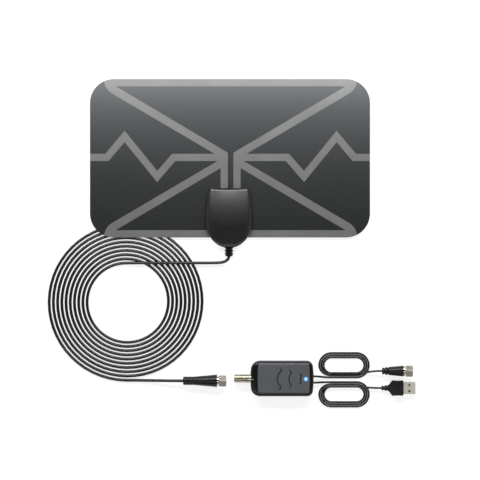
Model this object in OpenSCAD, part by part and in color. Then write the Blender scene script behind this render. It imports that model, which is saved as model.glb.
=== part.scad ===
/* [Antenna panel] */
// Width of the antenna panel
panel_w = 280; // [240:1:320]
// Height of the antenna panel
panel_h = 158.5; // [140:0.5:180]
// Thickness of the panel sheet
panel_t = 0.6; // [0.5:0.1:1]
// Radius of the panel's corners
panel_r = 24; // [16:1:30]
// Height of the panel's underside above the surface it lies on
panel_lift = 3.4; // [3.2:0.1:5]

/* [Conductor foil] */
// Thickness of the foil
foil_t = 0.25; // [0.2:0.05:0.35]
// Depth to which the foil is let into the sheet
foil_inlay = 0.2; // [0.1:0.05:0.2]
// Width of the bands along the long edges
band_w = 7.3; // [5:0.1:9]
// Width of the slanting stripes
slant_w = 7.6; // [5:0.1:9]
// Width of the zigzag stripes and the two feed stripes
stripe_w = 7.2; // [5:0.1:8]
// Gap between the two feed stripes
feed_gap = 5.6; // [3:0.1:8]
// Distance of the bow's inner corner tips from the panel's short edges
tip_x = 25.7; // [22:0.1:34]
// Radius of the bow's rounded outer tips
tip_r = 16.4; // [12:0.2:18]
// Height of the zigzag's outer peaks above its level stretch
zigzag_rise = 21; // [12:0.5:26]
// Depth of the zigzag's inner dips below its level stretch
zigzag_fall = 19.1; // [12:0.1:26]

/* [Balun housing] */
// Sideways place of the housing's middle
housing_x = -1; // [-10:0.5:10]
// Half of the housing's greatest width
housing_a = 23.6; // [21:0.1:26]
// Height of the housing's flat top edge above the panel's bottom edge
housing_top = 49.3; // [46:0.1:54]
// How far the housing's tip reaches below the panel's bottom edge
housing_tip = 9.7; // [8:0.1:10.5]
// Height of the crown above the surface
housing_crown = 14; // [12.5:0.1:17]
// Wall of the front and rear housing shells
housing_wall = 1.6; // [1.2:0.1:2]
// Radius of the two locating pegs' pins on each side
peg_r = 1.45; // [1.1:0.05:1.6]
// Running clearance round pegs, rivets and bushes
clear = 0.1; // [0.05:0.01:0.15]

/* [Antenna lead] */
// Diameter of the antenna's lead
lead_d = 3; // [2.6:0.1:3.2]
// Height of the lead where it leaves the housing
lead_z = 5.6; // [5.2:0.1:6]
// Length of the strain relief outside the housing
relief_l = 9.5; // [7:0.5:14]
// Radius of the strain relief's ribs
relief_r = 4.8; // [4.2:0.1:5.2]
// Middle of the coiled lead, across
coil_x = -103.4; // [-110:0.1:-98]
// Middle of the coiled lead, up the panel
coil_y = -64.2; // [-70:0.1:-60]
// Radius of the coil's innermost turn
coil_r = 38.6; // [34:0.1:42]
// Number of turns in the coil
coil_turns = 9.5; // [6.5:1:9.5]
// Distance from turn to turn
coil_pitch = 4.22; // [3.8:0.02:4.3]

/* [Aerial plugs] */
// Width across the flats of the coupling nuts
nut_af = 11; // [10.5:0.1:11.2]
// Length of the coupling nuts
nut_l = 7.2; // [6.6:0.1:9]
// Radius of the nuts' threaded bore
nut_bore_r = 4.35; // [4.3:0.01:4.5]
// Radius of the centre pins
pin_r = 0.4; // [0.35:0.01:0.5]
// How far the centre pins reach past the nuts
pin_reach = 1.3; // [0.5:0.1:3]
// Length of the antenna lead's boot
boot_l = 33.9; // [28:0.1:40]
// Radius of the antenna lead's boot at its wide end
boot_r = 6.5; // [6.4:0.1:7]
// Length of the amplifier lead's boot
rf_boot_l = 21.4; // [20:0.1:28]
// Radius of the amplifier lead's boot at its wide end
rf_boot_r = 5.4; // [5.2:0.1:6.4]

/* [Amplifier box] */
// Length of the amplifier box
amp_l = 63.1; // [56:0.1:70]
// Width of the amplifier box
amp_w = 35.4; // [32:0.1:42]
// Height of the amplifier box
amp_h = 15; // [14:0.1:18]
// Sideways place of the box's middle
amp_x = 51.95; // [45:0.05:60]
// Radius of the box's corners on the socket's side
amp_r = 8; // [6:0.5:10]
// Radius of the box's corners on the leads' side
amp_end_r = 5; // [4:0.5:8]
// How far the two short ends bow outwards
amp_bow = 1.5; // [0.5:0.1:3]
// Wall of the box's two shells
amp_wall = 1.8; // [1.4:0.1:2]
// Depth of the three engraved waves
wave_depth = 0.5; // [0.3:0.1:0.8]
// Width of the three engraved waves
wave_w = 0.8; // [0.6:0.1:1.2]
// Radius of the signal lamp
lamp_r = 2.3; // [1.5:0.1:2.5]
// Length of the socket's barrel outside the box
socket_l = 16.4; // [11:0.1:18]
// Radius over the socket's thread
socket_r = 4.75; // [4.7:0.01:4.8]

/* [Amplifier leads] */
// Diameter of the amplifier's two leads
cord_d = 2.1; // [1.8:0.1:2.3]
// Length of a hank of lead, over its outermost turns
hank_l = 51.6; // [46:0.1:56]
// Width of a hank of lead, over its outermost turns
hank_w = 26.5; // [25:0.1:28]
// Sideways place of the two hanks' middle
hank_x = 114.1; // [112:0.1:116]
// Width of the grip of the power plug
grip_w = 15.4; // [14:0.1:17]
// Height of the grip of the power plug
grip_h = 8; // [7:0.1:8]

/* [Hidden] */
$fn = 64;

// The panel's faces
panel_top = panel_lift + panel_t;
foil_top = panel_top - foil_inlay + foil_t;
// The bow and its zigzag, as half patterns to be mirrored about the pattern's own middle
pattern_x = 0.6;
half_w = panel_w / 2;
level_y = panel_h / 2 + 0.85;
feed_in = feed_gap / 2;
feed_out = feed_in + stripe_w;
feed_end = housing_top - 15.3;
tip_d = half_w - tip_x + pattern_x;
tip_run = 3.7;
tip_fall = 7.2;
bow_meet = level_y + 4.7;
bow_slope = (panel_h - band_w - bow_meet) / (tip_d - feed_in);
bow_drop = slant_w * sqrt(1 + bow_slope * bow_slope);
zigzag_d = [half_w - 16.3, half_w - 34, half_w - 66.6, half_w - 83.1];
// The housing's outline is two ellipses that meet at their widest
housing_mid = 17;
housing_b_up = 61;
housing_b_low = 27.5;
housing_skirt = 6.5;
crown_power = 2.3;
rivet_x = feed_in + stripe_w / 2;
rivet_y = housing_top - 9.3;
rivet_r = 1.2;
board_t = 1.2;
board_w = 22;
board_foot = 7;
board_top_edge = housing_top - 4.3;
core_l = 8;
core_w = 13;
core_h = 5;
core_foot = 20;
core_hole_r = 1.5;
core_hole_x = 3.2;
peg_spots = [[housing_a - 7.1, housing_top - 14.3], [housing_a - 6.1, 8]];
peg_post_r = peg_r + 0.95;
// The lead's strain relief
relief_neck_r = relief_r - 1.9;
relief_flange_r = relief_r - 1.1;
relief_core_r = relief_r - 1.1;
relief_ribs = 3;
// Aerial and power plugs, each from the rear end of its boot; the widest piece of each lies on the surface
lead_plug_at = [-46.9, -143.2, boot_r];
rf_plug_z = nut_af / sqrt(3) + 0.05;
rf_plug_at = [151.9, -133.4, rf_plug_z];
usb_z = grip_h / 2;
usb_at = [151.5, -150.5, usb_z];
// The leads' own routes; each point is chosen by hand, in millimetres
lead_route = [[housing_x, 6, lead_z], [housing_x, 0, lead_z], [housing_x, -7, lead_z], [housing_x, -13, lead_z],
    [housing_x, -19.4, lead_z], [housing_x - 1, -21.4, lead_z - 0.2], [-4, -23, 5.1],
    [-8, -24.6, 4.8], [-14, -25.2, 4.6], [-22, -25.4, 4.6], [-30, -25.4, 4.6], [-38, -25.4, 4.6],
    [-46, -25.4, 4.6], [-54, -25.4, 4.6], [-62, -25.4, 4.6], [-70, -25.4, 4.6],
    [-78, -25.4, 4.6], [-86, -25.4, 4.6], [-93, -25.4, 4.5], [-99, -25.5, 3.6]];
lead_end_route = [[-103, -142.9, 1.5], [-97, -142.9, 1.5], [-91, -142.9, 1.6], [-85, -142.9, 2],
    [-79, -143, 2.8], [-73, -143, 3.8], [-67, -143.1, 4.8], [-61, -143.2, 5.7], [-55, -143.2, 6.3],
    [-49, -143.2, boot_r], [-43, -143.2, boot_r], [-36, -143.2, boot_r], [-27.2, -143.2, boot_r]];
rf_route = [[75.5, -138.8, 4.6], [80, -138.8, 4.6], [85, -138.8, 4.5], [88, -139, 3.8], [91, -139.3, 2.6],
    [94, -139.6, 1.7], [98, -139.9, 1.2], [102, -140, 1.1]];
rf_end_route = [[118, -135.6, 3.2], [124, -135.6, 3.2], [131, -135.3, 3.2], [135.5, -135, 3.2],
    [140, -134.3, 3.5], [144.5, -133.7, 4.6], [148.5, -133.4, rf_plug_z - 0.4], [151.5, -133.4, rf_plug_z],
    [155, -133.4, rf_plug_z], [159.2, -133.4, rf_plug_z]];
usb_route = [[75.5, -145.2, 4.6], [80, -145.2, 4.6], [85, -145.2, 4.5], [88, -145.1, 3.8], [91, -144.9, 2.6],
    [94, -144.8, 1.7], [98, -144.8, 1.2], [102, -144.8, 1.1]];
usb_end_route = [[118, -149.2, 3.2], [124, -149.2, 3.2], [131, -149.5, 3.2], [135.5, -149.9, 3.2],
    [140, -150.2, 3.3], [144.5, -150.4, 3.5], [148.5, -150.5, usb_z - 0.1], [151.5, -150.5, usb_z],
    [156, -150.5, usb_z], [162, -150.5, usb_z]];
// The coil and the hanks
coil_out_r = coil_r + coil_turns * coil_pitch + lead_d / 2;
hank_t = 3.4;
rf_hank_y = -127.85;
usb_hank_y = -156.95;
// Aerial plug sections, measured from the boot's rear end
ferrule_l = 13.9;
ferrule_r = 3.2;
shoulder_l = 1.7;
shoulder_r = 5.3;
nut_gap = 0.4;
nut_lip = 2.2;
post_r = 3.3;
flange_r = 4.1;
flange_l = 1;
flange_gap = 0.3;
core_r = 2.3;
wire_r = 0.22;
boot_rear_r = 4.2;
boot_rear_l = 10.4;
slot_l = 1.2;
slot_w = 3.3;
slot_step = 2.8;
// The amplifier box
group_low = -158.5;
amp_y = amp_w / 2 + group_low;
amp_split = amp_h / 2;
amp_edge = 11;
amp_floor_edge = 1;
plateau_left = 7.1;
plateau_right = 3.8;
plateau_low = 3;
plateau_high = 4.4;
plateau = [plateau_left - amp_l / 2, amp_l / 2 - plateau_right, plateau_low - amp_w / 2, amp_w / 2 - plateau_high];
plateau_r = 2.5;
deck_z = 5.7;
deck_t = 1.2;
deck_top = deck_z + deck_t;
deck_gap = 0.7;
lip_h = 1.5;
lip_t = 0.8;
socket_collar_r = socket_r + 0.45;
socket_collar_l = 0.8;
socket_flange_r = 6.4;
socket_flange_l = 1.6;
socket_tail_l = 6;
socket_core_r = 3.4;
socket_hole_r = 0.6;
lamp_in = 7.8;
lamp_low = 0.4;
lamp_at = [amp_l / 2 - lamp_in, -lamp_low];
lamp_rim = 0.9;
board_post_r = 2;
post_left = 15.55;
post_right = 11.55;
post_side = 7.7;
wave_1 = [[-1.8, 10.3], [-0.8, 9], [-1.8, 6.8], [-3.4, 4.6], [-4.4, 2], [-4.7, -0.6], [-4.3, -3.2],
    [-3.2, -5.6], [-1.5, -7.9], [-1.5, -9.4], [-3.2, -10.9]];
wave_2 = [[7, 8], [9.2, 6.9], [9, 5.2], [7.6, 3.4], [7, 1.2], [7, -1.2], [7.6, -3.8], [8.8, -6], [8.4, -7.6],
    [7.2, -8.6]];
wave_3 = [[17.3, 5.4], [18.9, 4], [18.9, 2.2], [18.4, 0], [18.7, -2.4], [18.6, -4.2], [17, -5.6]];
// The power plug
grip_l = 21.8;
usb_w = 12;
usb_h = 4.5;
usb_out = 12;
usb_in = 9.5;
usb_wall = 0.3;
usb_window = [2, 2.2];
tongue_w = usb_w - 2 * usb_wall - 0.1;
tongue_h = 1.9;
contact_t = 0.2;

// Points along an arc
function arc(c, r, from, to, steps) =
    [for (i = [0:steps]) let (a = from + (to - from) * i / steps) [c[0] + r * cos(a), c[1] + r * sin(a)]];
// Directions, and the mitred corner of a stripe
function unit(v) = v / norm(v);
function side(v) = [-v[1], v[0]];
function corner(p, i, w) =
    let (
        n = len(p),
        before = unit(p[max(i, 1)] - p[max(i, 1) - 1]),
        after = unit(p[min(i, n - 2) + 1] - p[min(i, n - 2)]),
        s = unit(side(before) + side(after))
    )
    p[i] + s * w / 2 / (s * side(before));
// The outline of a stripe of width w along the points p, with mitred corners
function stripe(p, w) = concat(
    [for (i = [0:len(p) - 1]) corner(p, i, w)],
    [for (i = [len(p) - 1:-1:0]) corner(p, i, -w)]
);
// Points of a rounded rectangle from x0 to x1 and y0 to y1, its left corners of radius rl and its right
// corners of radius rr, with extra points on its short sides
function rounded(x0, x1, y0, y1, rl, rr) = concat(
    arc([x0 + rl, y0 + rl], rl, 180, 270, 8),
    arc([x1 - rr, y0 + rr], rr, 270, 360, 8),
    [for (i = [1:5]) [x1, y0 + rr + (y1 - y0 - 2 * rr) * i / 6]],
    arc([x1 - rr, y1 - rr], rr, 0, 90, 8),
    arc([x0 + rl, y1 - rl], rl, 90, 180, 8),
    [for (i = [5:-1:1]) [x0, y0 + rl + (y1 - y0 - 2 * rl) * i / 6]]
);
// A closed skin over rings of points that all have the same number, from the lowest ring to the highest
module skin(rings) {
    n = len(rings[0]);
    m = len(rings);
    polyhedron(
        points = [for (ring = rings) for (p = ring) p],
        faces = concat(
            [[for (i = [0:n - 1]) i]],
            [for (k = [0:m - 2]) for (i = [0:n - 1]) [k * n + i, (k + 1) * n + i, (k + 1) * n + (i + 1) % n]],
            [for (k = [0:m - 2]) for (i = [0:n - 1]) [k * n + i, (k + 1) * n + (i + 1) % n, k * n + (i + 1) % n]],
            [[for (i = [n - 1:-1:0]) (m - 1) * n + i]]
        )
    );
}
// A round cord of diameter d along the points p, as a tube with eight sides
module cord(p, d) {
    n = len(p);
    skin([for (i = [0:n - 1])
        let (
            t = unit(p[min(i + 1, n - 1)] - p[max(i - 1, 0)]),
            u = unit(cross(t, [0, 0, 1])),
            v = cross(u, t)
        )
        [for (k = [7:-1:0]) p[i] + d / 2 * (cos(45 * k + 22.5) * u + sin(45 * k + 22.5) * v)]]);
}

// The panel's outline
module panel_outline() {
    polygon(concat(
        arc([panel_r - half_w, panel_r], panel_r, 180, 270, 16),
        arc([half_w - panel_r, panel_r], panel_r, 270, 360, 16),
        arc([half_w - panel_r, panel_h - panel_r], panel_r, 0, 90, 16),
        arc([panel_r - half_w, panel_h - panel_r], panel_r, 90, 180, 16)
    ));
}

// One quarter of the bow, with its long band, its rounded tip and its slanting stripe
module bow_quarter() {
    tip_y = panel_h - band_w;
    slope_a = atan(bow_slope);
    touch = [tip_d + tip_run, tip_y - tip_fall];
    centre = touch + tip_r * [-sin(slope_a), cos(slope_a)];
    translate([0, tip_y]) square([tip_d + 0.1, band_w]);
    polygon([[feed_in, bow_meet], [tip_d, tip_y], touch, [feed_in, bow_meet - bow_drop]]);
    polygon(concat([[tip_d, tip_y], [tip_d, panel_h]], [[centre[0] + tip_r, panel_h]],
        arc(centre, tip_r, 0, slope_a - 90, 10)));
}

// The zigzag and the feed stripe of one side
module side_stripes() {
    translate([feed_in, feed_end]) square([stripe_w, bow_meet - feed_end]);
    polygon(stripe([[feed_out - 1, level_y], [zigzag_d[3], level_y], [zigzag_d[2], level_y - zigzag_fall],
        [zigzag_d[1], level_y + zigzag_rise], [zigzag_d[0], level_y], [half_w + 5, level_y]], stripe_w));
}

// The conductor's whole pattern
module pattern() {
    intersection() {
        panel_outline();
        translate([pattern_x, 0])
            for (flip = [0, 1]) mirror([flip, 0]) {
                translate([-0.1, panel_h - band_w]) square([1, band_w]);
                translate([-0.1, 0]) square([1, band_w]);
                bow_quarter();
                difference() {
                    translate([0, panel_h]) mirror([0, 1]) bow_quarter();
                    translate([0, band_w + 1]) square([feed_in, panel_h - 2 * band_w - 2]);
                }
                side_stripes();
            }
    }
}

// The housing's outline, drawn in by a given width
function housing_points(inset) =
    let (
        a = housing_a - inset,
        up = housing_b_up - inset,
        low = housing_b_low - inset,
        top_a = asin((housing_top - inset - housing_mid) / up),
        tip_a = asin((housing_tip - inset + housing_mid) / low),
        right = concat(
            [for (i = [0:11]) let (t = -tip_a * (1 - i / 12)) [a * cos(t), housing_mid + low * sin(t)]],
            [for (i = [0:8]) let (t = top_a * i / 8) [a * cos(t), housing_mid + up * sin(t)]]
        ),
        n = len(right)
    )
    concat(
        [for (p = right) [housing_x + p[0], p[1]]],
        [for (i = [n - 1:-1:0]) [housing_x - right[i][0], right[i][1]]]
    );
// Height of the skirt's top at a place up the panel, higher round the lead's exit
function skirt_z(y) =
    let (s = min(1, max(0, (12 - y) / 20)))
    housing_skirt + (lead_z + relief_r + 0.2 - housing_skirt) * s * s * (3 - 2 * s);
// The crowned form of the housing, drawn in by a wall
module housing_form(wall, foot) {
    a = housing_a - wall;
    angles = [0, 15, 27, 38, 49, 60, 70, 78];
    skin(concat(
        [[for (p = housing_points(wall)) [p[0], p[1], foot]]],
        [for (t = angles)
            let (in_by = a * (1 - pow(cos(t), 2 / crown_power)), up = pow(sin(t), 2 / crown_power))
            [for (p = housing_points(wall + in_by))
                let (s = skirt_z(p[1]) - 0.6 * wall)
                [p[0], p[1], s + (housing_crown - wall - s) * up]]]
    ));
}
module at_pegs() {
    for (spot = peg_spots) for (way = [-1, 1])
        translate([housing_x + way * spot[0], spot[1], 0]) children();
}
module along_lead(y) {
    translate([housing_x, y, lead_z]) rotate([-90, 0, 0]) children();
}

module panel_sheet() {
    color([0.14, 0.15, 0.16]) difference() {
        translate([0, 0, panel_lift]) linear_extrude(panel_t) panel_outline();
        translate([0, 0, panel_top - foil_inlay]) linear_extrude(1) pattern();
        at_pegs() cylinder(r = peg_r + clear, h = 20);
        for (way = [-1, 1])
            translate([pattern_x + way * rivet_x, rivet_y, 0]) cylinder(r = rivet_r + clear / 2, h = 20);
    }
}

module element_foil() {
    color([0.62, 0.63, 0.64]) difference() {
        translate([0, 0, panel_top - foil_inlay]) linear_extrude(foil_t) pattern();
        at_pegs() cylinder(r = peg_r + clear, h = 20);
        for (way = [-1, 1])
            translate([pattern_x + way * rivet_x, rivet_y, 0]) cylinder(r = rivet_r + clear / 2, h = 20);
    }
}

module housing_front() {
    color([0.2, 0.21, 0.22]) {
        difference() {
            housing_form(0, panel_lift);
            difference() {
                housing_form(housing_wall, panel_lift - 1);
                at_pegs() cylinder(r = peg_post_r, h = 20);
            }
            translate([-60, 0, 0]) cube([120, 60, foil_top]);
            along_lead(-housing_tip - 1) cylinder(r = relief_neck_r + clear, h = 4);
        }
        at_pegs() translate([0, 0, 1.6]) cylinder(r = peg_r, h = foil_top + 0.5 - 1.6);
    }
}

module housing_back() {
    floor_t = 1.2;
    color([0.16, 0.17, 0.18]) difference() {
        union() {
            linear_extrude(0.5) polygon(housing_points(0.5));
            translate([0, 0, 0.5]) linear_extrude(panel_lift - 0.5) polygon(housing_points(0));
        }
        difference() {
            translate([0, 0, floor_t]) linear_extrude(panel_lift) polygon(housing_points(housing_wall));
            at_pegs() cylinder(r = peg_r + clear + housing_wall, h = 20);
        }
        at_pegs() translate([0, 0, floor_t]) cylinder(r = peg_r + clear / 2, h = 20);
        along_lead(-housing_tip - 1) cylinder(r = relief_neck_r + clear, h = 4);
    }
}

module balun_board() {
    color([0.1, 0.4, 0.25]) difference() {
        translate([housing_x - board_w / 2, board_foot, foil_top])
            cube([board_w, board_top_edge - board_foot, board_t]);
        for (way = [-1, 1])
            translate([pattern_x + way * rivet_x, rivet_y, 0]) cylinder(r = rivet_r + clear / 2, h = 20);
    }
}

module balun_core() {
    base = foil_top + board_t;
    color([0.2, 0.19, 0.19]) difference() {
        translate([housing_x - core_w / 2, core_foot, base]) cube([core_w, core_l, core_h]);
        for (way = [-1, 1])
            translate([housing_x + way * core_hole_x, core_foot - 1, base + core_h / 2])
                rotate([-90, 0, 0]) cylinder(r = core_hole_r, h = core_l + 2);
    }
}

module balun_winding() {
    base = foil_top + board_t + core_h / 2;
    color([0.72, 0.4, 0.2]) translate([housing_x, core_foot + core_l / 2, base - 0.9]) linear_extrude(1.8)
        difference() {
            polygon(concat(
                arc([0, core_l / 2 + 0.8], core_hole_x + 0.6, 0, 180, 16),
                arc([0, -core_l / 2 - 0.8], core_hole_x + 0.6, 180, 360, 16)
            ));
            polygon(concat(
                arc([0, core_l / 2 + 0.8], core_hole_x - 0.6, 0, 180, 16),
                arc([0, -core_l / 2 - 0.8], core_hole_x - 0.6, 180, 360, 16)
            ));
        }
}

module feed_rivet(way) {
    head_r = rivet_r + 1;
    top = foil_top + board_t;
    color([0.8, 0.8, 0.78]) translate([pattern_x + way * rivet_x, rivet_y, 0]) {
        translate([0, 0, panel_lift - 0.5]) cylinder(r = head_r, h = 0.5);
        translate([0, 0, panel_lift - 0.2]) cylinder(r = rivet_r, h = top - panel_lift + 0.4);
        translate([0, 0, top]) cylinder(r1 = head_r, r2 = head_r - 0.5, h = 0.8);
    }
}

module lead_strain_relief() {
    inside = -housing_tip + housing_wall;
    step = relief_l / relief_ribs;
    color([0.13, 0.13, 0.14]) translate([housing_x, 0, lead_z]) rotate([-90, 0, 0]) difference() {
        union() {
            translate([0, 0, inside]) cylinder(r = relief_flange_r, h = 1.5);
            translate([0, 0, -housing_tip - 1]) cylinder(r = relief_neck_r, h = housing_wall + 1.5);
            rotate_extrude() polygon(concat(
                [[0, -housing_tip]],
                [for (k = [0:relief_ribs - 1]) for (q = [[relief_r - 0.4, 0], [relief_r, 0.25], [relief_r, 0.5],
                        [relief_r - 0.4, 0.75], [relief_core_r, 1.1], [relief_core_r, step - 0.35]])
                    [q[0], -housing_tip - k * step - q[1]]],
                [[0, -housing_tip - relief_ribs * step + 0.35]]
            ));
        }
        translate([0, 0, -40]) cylinder(r = lead_d / 2 + clear / 2, h = 60);
    }
}

module lead_tube_a() { color([0.08, 0.08, 0.09]) cord(lead_route, lead_d); }

module lead_coil() {
    color([0.08, 0.08, 0.09]) translate([coil_x, coil_y, 0]) rotate_extrude($fn = 128)
        translate([coil_r - lead_d / 2, 0]) square([coil_out_r - coil_r + lead_d / 2, lead_d]);
}

module lead_tube_b() { color([0.08, 0.08, 0.09]) cord(lead_end_route, lead_d); }

// The pieces of an aerial plug lie along +X from the rear end of its boot
function plug_front(boot) = boot + shoulder_l + nut_gap + nut_lip + flange_gap + flange_l;
module on_axis(at, x) { translate(at + [x, 0, 0]) rotate([0, 90, 0]) children(); }

module plug_body(at, boot) {
    front = plug_front(boot);
    color([0.75, 0.75, 0.73]) on_axis(at, 0) difference() {
        union() {
            translate([0, 0, boot - ferrule_l]) cylinder(r = ferrule_r, h = ferrule_l + 0.5);
            translate([0, 0, boot]) cylinder(r = shoulder_r, h = shoulder_l);
            translate([0, 0, boot + 1]) cylinder(r = post_r, h = front - boot - 1);
            translate([0, 0, front - flange_l]) cylinder(r = flange_r, h = flange_l);
        }
        translate([0, 0, boot - ferrule_l - 1]) cylinder(r = core_r + 0.05, h = 60);
    }
}

module plug_nut(at, boot) {
    back = boot + shoulder_l + nut_gap;
    color([0.78, 0.78, 0.76]) on_axis(at, back) difference() {
        intersection() {
            cylinder(r = nut_af / sqrt(3), h = nut_l, $fn = 6);
            rotate_extrude() polygon([[0, 0], [nut_af / 2, 0], [nut_af / 2 + 0.9, 0.6],
                [nut_af / 2 + 0.9, nut_l - 0.6], [nut_af / 2, nut_l], [0, nut_l]]);
        }
        translate([0, 0, -1]) cylinder(r = post_r + 0.08, h = nut_l + 2);
        translate([0, 0, nut_lip]) cylinder(r = nut_bore_r, h = nut_l);
    }
}

module plug_insulator(at, boot) {
    front = plug_front(boot);
    color([0.92, 0.92, 0.9]) on_axis(at, boot - ferrule_l) difference() {
        cylinder(r = core_r, h = front - boot + ferrule_l);
        translate([0, 0, -1]) cylinder(r = wire_r + 0.02, h = 60);
    }
}

module plug_pin(at, boot) {
    front = plug_front(boot);
    tip = boot + shoulder_l + nut_gap + nut_l + pin_reach;
    color([0.8, 0.55, 0.3]) {
        on_axis(at, boot - ferrule_l) cylinder(r = wire_r, h = front - boot + ferrule_l);
        on_axis(at, front) cylinder(r = pin_r, h = tip - front - 0.3);
        on_axis(at, tip - 0.3) cylinder(r1 = pin_r, r2 = pin_r - 0.25, h = 0.3);
    }
}

module lead_plug_boot() {
    color([0.07, 0.07, 0.07]) difference() {
        on_axis(lead_plug_at, 0) rotate_extrude() polygon([[0, 0], [boot_rear_r - 0.7, 0], [boot_rear_r, 0.8],
            [boot_rear_r, boot_rear_l], [boot_r - 0.35, boot_l - 1.6], [boot_r, boot_l - 1.2],
            [boot_r, boot_l - 0.4], [boot_r - 0.4, boot_l], [0, boot_l]]);
        on_axis(lead_plug_at, -1) cylinder(r = lead_d / 2 + clear / 2, h = boot_l);
        on_axis(lead_plug_at, boot_l - ferrule_l) cylinder(r = ferrule_r + 0.05, h = 40);
        for (k = [1:3]) translate(lead_plug_at + [k * slot_step + 0.2, -slot_w / 2, -20])
            cube([slot_l, slot_w, 40]);
    }
}

module rf_plug_boot() {
    color([0.07, 0.07, 0.07]) on_axis(rf_plug_at, 0) difference() {
        rotate_extrude() polygon([[0, 0], [3, 0], [3.4, 0.5], [3.4, 1.9], [2.9, 2.3], [2.9, 2.9], [3.6, 3.2],
            [4, 3.6], [4, 4.9], [3.5, 5.5], [3.2, 5.8], [3.2, 6.1], [4.1, 6.5], [rf_boot_r, rf_boot_l - 1],
            [rf_boot_r, rf_boot_l - 0.4], [rf_boot_r - 0.4, rf_boot_l], [0, rf_boot_l]]);
        translate([0, 0, -1]) cylinder(r = cord_d / 2 + clear / 2, h = rf_boot_l);
        translate([0, 0, rf_boot_l - ferrule_l]) cylinder(r = ferrule_r + 0.05, h = 40);
    }
}

module lead_plug_body() { plug_body(lead_plug_at, boot_l); }
module lead_plug_nut() { plug_nut(lead_plug_at, boot_l); }
module lead_plug_insulator() { plug_insulator(lead_plug_at, boot_l); }
module lead_plug_pin() { plug_pin(lead_plug_at, boot_l); }
module rf_plug_body() { plug_body(rf_plug_at, rf_boot_l); }
module rf_plug_nut() { plug_nut(rf_plug_at, rf_boot_l); }
module rf_plug_insulator() { plug_insulator(rf_plug_at, rf_boot_l); }
module rf_plug_pin() { plug_pin(rf_plug_at, rf_boot_l); }

// The amplifier box's outline about its own middle, drawn in by a given width
function amp_points(inset) =
    let (x = amp_l / 2 - inset, y = amp_w / 2 - inset)
    [for (p = rounded(-x, x, -y, y, amp_r - inset, amp_end_r - inset))
        [p[0] - sign(p[0]) * amp_bow * pow(p[1] / y, 2), p[1]]];
// The raised deck's outline, its short ends bowed a little too
function plateau_points(inset) =
    let (y = (plateau[3] - plateau[2]) / 2, mid = (plateau[3] + plateau[2]) / 2)
    [for (p = rounded(plateau[0] + inset, plateau[1] - inset, plateau[2] + inset, plateau[3] - inset,
            plateau_r, plateau_r))
        [p[0] - sign(p[0]) * amp_bow * 0.3 * pow((p[1] - mid) / y, 2), p[1]]];
// The top shell's form: a skirt, then a rounded shoulder up to the raised deck
module amp_form(inset, foot) {
    outer = amp_points(inset);
    inner = plateau_points(inset);
    edge = amp_edge - inset / 2;
    skin(concat(
        [[for (p = outer) [p[0], p[1], foot]]],
        [for (t = [0, 20, 40, 60, 78, 90])
            [for (i = [0:len(outer) - 1])
                let (q = outer[i] + (inner[i] - outer[i]) * (1 - cos(t)))
                [q[0], q[1], edge + (amp_h - inset - edge) * sin(t)]]]
    ));
}
module at_amp() { translate([amp_x, amp_y, 0]) children(); }
module on_socket(x) { translate([amp_x - amp_l / 2 + x, amp_y, amp_split]) rotate([0, 90, 0]) children(); }

// The socket's hole through the end wall, and the flat that its flange lies on
module socket_seat() {
    on_socket(-socket_collar_l - 1) cylinder(r = socket_collar_r + clear, h = socket_collar_l + 1 + 2 * amp_wall);
    on_socket(amp_wall) cylinder(r = socket_flange_r + 3 * clear, h = 2 * socket_flange_l);
}

module amp_top_shell() {
    color([0.24, 0.25, 0.27]) difference() {
        at_amp() union() {
            difference() {
                amp_form(0, amp_split);
                amp_form(amp_wall, amp_split - 1);
                for (wave = [wave_1, wave_2, wave_3])
                    translate([0, 0, amp_h - wave_depth]) linear_extrude(2) polygon(stripe(wave, wave_w));
            }
            difference() {
                union() {
                    translate([0, 0, amp_split - lip_h]) linear_extrude(lip_h + 1)
                        polygon(amp_points(amp_wall + clear));
                    translate([0, 0, amp_split]) linear_extrude(1) polygon(amp_points(amp_wall - 0.4));
                }
                translate([0, 0, amp_split - lip_h - 1]) linear_extrude(lip_h + 8)
                    polygon(amp_points(amp_wall + clear + lip_t));
                translate([-amp_l / 2, -socket_flange_r - 1, 0]) cube([amp_r, 2 * socket_flange_r + 2, amp_h]);
            }
        }
        socket_seat();
        at_amp() translate([lamp_at[0], lamp_at[1], 0]) cylinder(r = lamp_r + clear, h = 2 * amp_h);
    }
}

module amp_bottom_shell() {
    color([0.12, 0.12, 0.13]) difference() {
        at_amp() union() {
            linear_extrude(0.5) polygon(amp_points(amp_floor_edge));
            translate([0, 0, 0.5]) linear_extrude(0.5) polygon(amp_points(amp_floor_edge / 2));
            translate([0, 0, 1]) linear_extrude(amp_split - 1) polygon(amp_points(0));
        }
        at_amp() difference() {
            translate([0, 0, amp_wall]) linear_extrude(amp_h) polygon(amp_points(amp_wall));
            for (x = [post_left - amp_l / 2, amp_l / 2 - post_right], way = [-1, 1])
                translate([x, way * (amp_w / 2 - post_side), 0]) cylinder(r = board_post_r, h = deck_z);
        }
        socket_seat();
        for (start = [rf_route[0], usb_route[0]])
            translate([amp_x + amp_l / 2 - amp_wall - amp_bow - 3, start[1], start[2]]) rotate([0, 90, 0])
                cylinder(r = cord_d / 2 + clear / 2, h = amp_wall + amp_bow + 5);
    }
}

module amp_board() {
    x0 = -amp_l / 2 + amp_wall + socket_flange_l + socket_tail_l + 0.6;
    x1 = amp_l / 2 - amp_wall - lip_t - amp_bow - deck_gap;
    y1 = amp_w / 2 - amp_wall - lip_t - deck_gap - 0.5;
    color([0.1, 0.4, 0.25]) at_amp() translate([x0, -y1, deck_z]) cube([x1 - x0, 2 * y1, deck_t]);
}

module amp_chip() {
    color([0.1, 0.1, 0.1]) at_amp() translate([-9, -2.5, deck_top]) cube([5, 5, 1.4]);
}

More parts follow.
